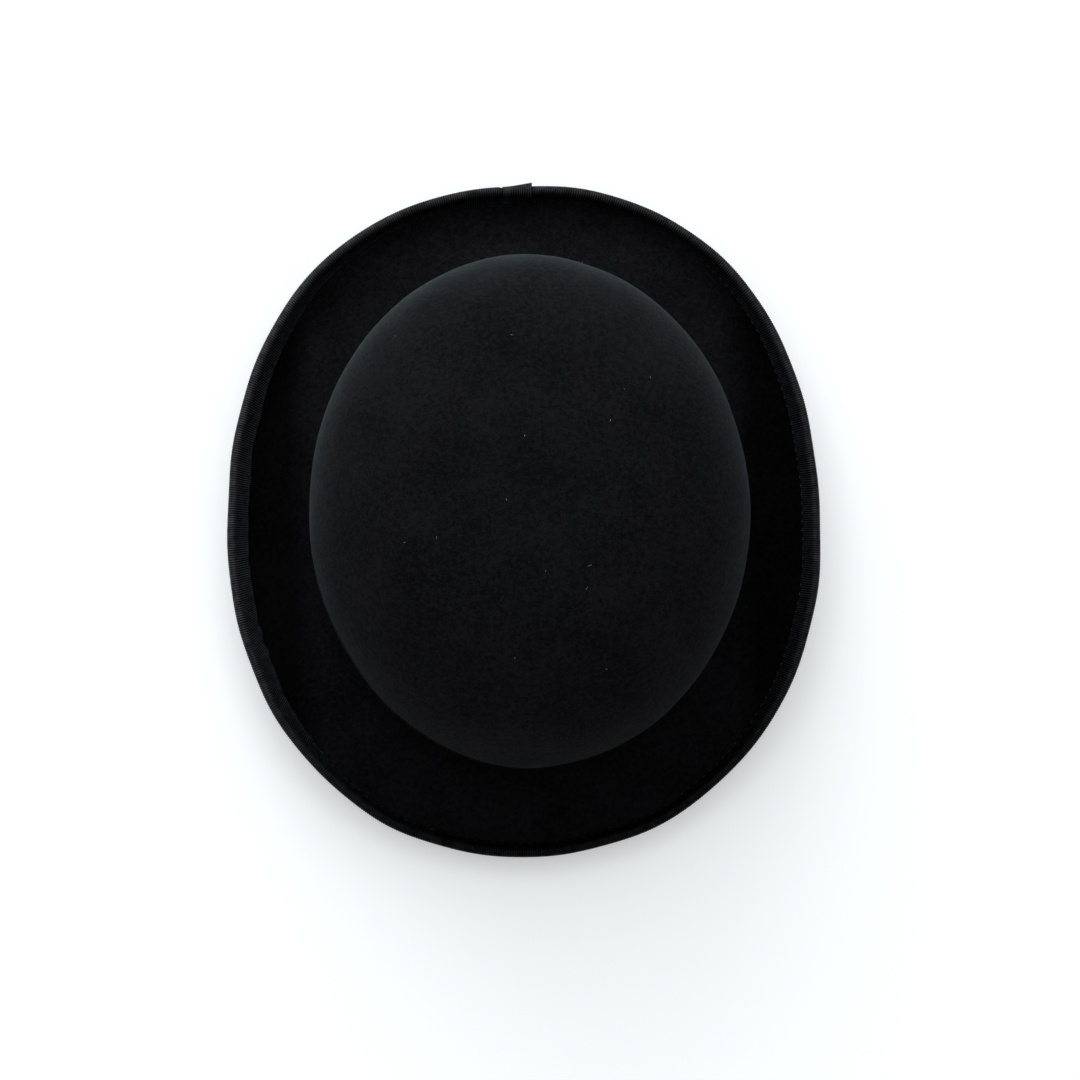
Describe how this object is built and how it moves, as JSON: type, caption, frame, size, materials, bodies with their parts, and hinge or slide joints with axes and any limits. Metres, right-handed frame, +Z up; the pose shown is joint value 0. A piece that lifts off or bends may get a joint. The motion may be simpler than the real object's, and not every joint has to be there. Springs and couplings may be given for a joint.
{
  "type": "bowler hat",
  "caption": "Stiff felt bowler hat with a domed crown, a bound brim curled up all round, a ribbon band with a flat bow, a leather sweatband and a satin lining.",
  "frame": {"origin": "on the surface that the hat stands on, under the middle of its outline", "axes": "+Z up, -Y towards the front of the hat, +X towards the wearer's left, the side with the bow"},
  "size_m": [0.2528, 0.2874, 0.1204],
  "materials": {
    "felt": "matt black felt with a soft nap",
    "grosgrain": "black ribbed ribbon, slight sheen",
    "sweatband_leather": "smooth brown leather",
    "reed_plastic": "translucent plastic cord",
    "cotton_tape": "black cotton tape",
    "thread": "brown sewing thread",
    "brown_ribbon": "narrow brown ribbon",
    "label_cloth": "blank woven tab",
    "lining_satin": "ivory satin"
  },
  "bodies": {
    "root": {"felt_body": "felt", "brim_binding": "grosgrain", "hat_band": "grosgrain", "bow_tail": "grosgrain", "bow_back_loop": "grosgrain", "bow_front_loop": "grosgrain", "bow_knot": "grosgrain", "sweatband": "sweatband_leather", "sweatband_reed": "reed_plastic", "reed_tape": "cotton_tape", "sweatband_stitching": "thread", "sweatband_bow": "brown_ribbon", "size_label": "label_cloth", "lining_side": "lining_satin", "lining_tip": "lining_satin", "lining_piping": "lining_satin"}
  },
  "joints": []
}
